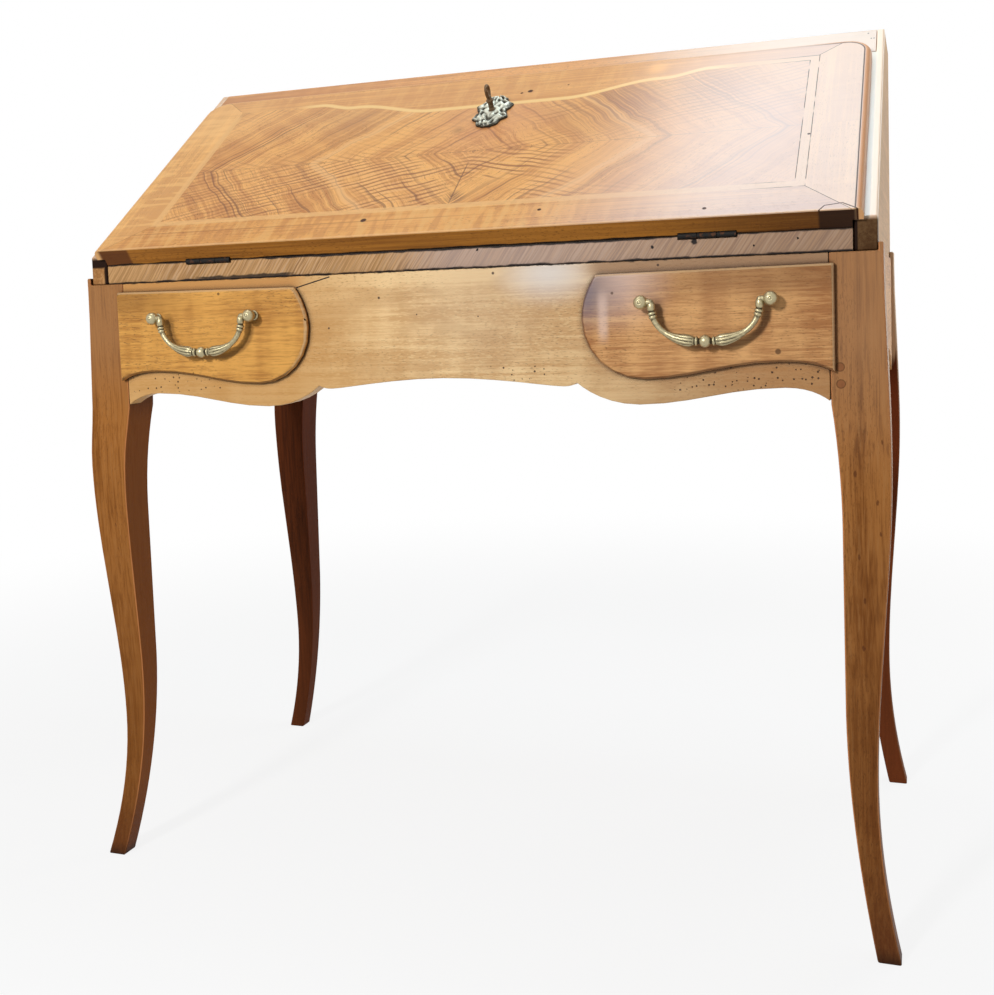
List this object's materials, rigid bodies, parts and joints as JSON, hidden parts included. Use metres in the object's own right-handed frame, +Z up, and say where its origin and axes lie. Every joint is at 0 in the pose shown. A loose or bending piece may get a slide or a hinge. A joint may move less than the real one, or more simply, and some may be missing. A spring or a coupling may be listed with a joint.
{
  "type": "slant-front desk",
  "caption": "Walnut slant-front desk on cabriole legs, with a fall flap on butt hinges, shaped lipped drawers with bail handles, and a fitted gallery inside.",
  "frame": {"origin": "centre of the bounding box, on the floor", "axes": "+Z up, -Y the front with the flap and drawers, +X to the right of someone facing the front"},
  "size_m": [0.9072, 0.5074, 0.945],
  "materials": {
    "walnut": "waxed solid walnut, honey brown, satin",
    "leg_walnut": "waxed solid walnut, darker towards the feet",
    "walnut_veneer": "polished figured walnut veneer with pale stringing",
    "inner_wood": "plain unpolished secondary wood",
    "aged_brass": "aged cast brass, dark in the hollows",
    "black_iron": "old blackened iron",
    "old_steel": "worn greyed steel"
  },
  "bodies": {
    "carcass": {"back_apron": "leg_walnut", "back_panel": "inner_wood", "case_side_left": "walnut", "case_side_right": "walnut", "front_apron": "walnut", "front_rail": "walnut_veneer", "gallery_lower_divider_left": "inner_wood", "gallery_lower_divider_right": "inner_wood", "gallery_shelf": "inner_wood", "gallery_top": "inner_wood", "gallery_upper_divider_left": "inner_wood", "gallery_upper_divider_right": "inner_wood", "left_drawer_inner_runner": "inner_wood", "left_drawer_outer_runner": "inner_wood", "left_hinge_lower_leaf": "black_iron", "left_hinge_pin": "black_iron", "leg_front_left": "leg_walnut", "leg_front_right": "leg_walnut", "leg_rear_left": "leg_walnut", "leg_rear_right": "leg_walnut", "right_drawer_inner_runner": "inner_wood", "right_drawer_outer_runner": "inner_wood", "right_hinge_lower_leaf": "black_iron", "right_hinge_pin": "black_iron", "side_apron_left": "leg_walnut", "side_apron_right": "leg_walnut", "top_board": "walnut", "writing_bed": "walnut"},
    "flap": {"escutcheon": "old_steel", "flap_panel": "walnut_veneer", "left_hinge_upper_leaf": "black_iron", "lock_case": "black_iron", "right_hinge_upper_leaf": "black_iron"},
    "key": {"key": "old_steel"},
    "left_bail": {"left_bail": "aged_brass"},
    "left_drawer": {"left_drawer_back": "inner_wood", "left_drawer_bottom": "inner_wood", "left_drawer_front": "walnut", "left_drawer_left_side": "inner_wood", "left_drawer_right_side": "inner_wood", "left_handle_left_post": "aged_brass", "left_handle_right_post": "aged_brass"},
    "left_small_drawer": {"left_small_drawer_front": "walnut", "left_small_drawer_knob": "aged_brass", "left_small_drawer_tray": "inner_wood"},
    "lock_bolt": {"lock_bolt": "old_steel"},
    "right_bail": {"right_bail": "aged_brass"},
    "right_drawer": {"right_drawer_back": "inner_wood", "right_drawer_bottom": "inner_wood", "right_drawer_front": "walnut", "right_drawer_left_side": "inner_wood", "right_drawer_right_side": "inner_wood", "right_handle_left_post": "aged_brass", "right_handle_right_post": "aged_brass"},
    "right_small_drawer": {"right_small_drawer_front": "walnut", "right_small_drawer_knob": "aged_brass", "right_small_drawer_tray": "inner_wood"}
  },
  "joints": [
    {"name": "flap_hinge", "type": "hinge", "parent": "carcass", "child": "flap", "pos_m": [0, -0.22235, 0.706], "axis": [1, 0, 0], "range_deg": [0, 143.7]},
    {"name": "key_turn", "type": "hinge", "parent": "flap", "child": "key", "pos_m": [0, -0.02087, 0.854], "axis": [0, -0.592, 0.8059], "range_deg": [0, 180]},
    {"name": "bolt_throw", "type": "slide", "parent": "flap", "child": "lock_bolt", "axis": [0, 0.8059, 0.592], "range_m": [0, 0.012]},
    {"name": "left_drawer_slide", "type": "slide", "parent": "carcass", "child": "left_drawer", "axis": [0, -1, 0], "range_m": [0, 0.3]},
    {"name": "left_bail_swing", "type": "hinge", "parent": "left_drawer", "child": "left_bail", "pos_m": [-0.28, -0.24665, 0.643], "axis": [-1, 0, 0], "range_deg": [0, 90]},
    {"name": "left_small_drawer_slide", "type": "slide", "parent": "carcass", "child": "left_small_drawer", "axis": [0, -1, 0], "range_m": [0, 0.1]},
    {"name": "right_drawer_slide", "type": "slide", "parent": "carcass", "child": "right_drawer", "axis": [0, -1, 0], "range_m": [0, 0.3]},
    {"name": "right_bail_swing", "type": "hinge", "parent": "right_drawer", "child": "right_bail", "pos_m": [0.28, -0.24665, 0.643], "axis": [-1, 0, 0], "range_deg": [0, 90]},
    {"name": "right_small_drawer_slide", "type": "slide", "parent": "carcass", "child": "right_small_drawer", "axis": [0, -1, 0], "range_m": [0, 0.1]}
  ],
  "couplings": [
    {"joint": "key_turn", "follows": "bolt_throw", "rad_per_m": 261.79}
  ]
}
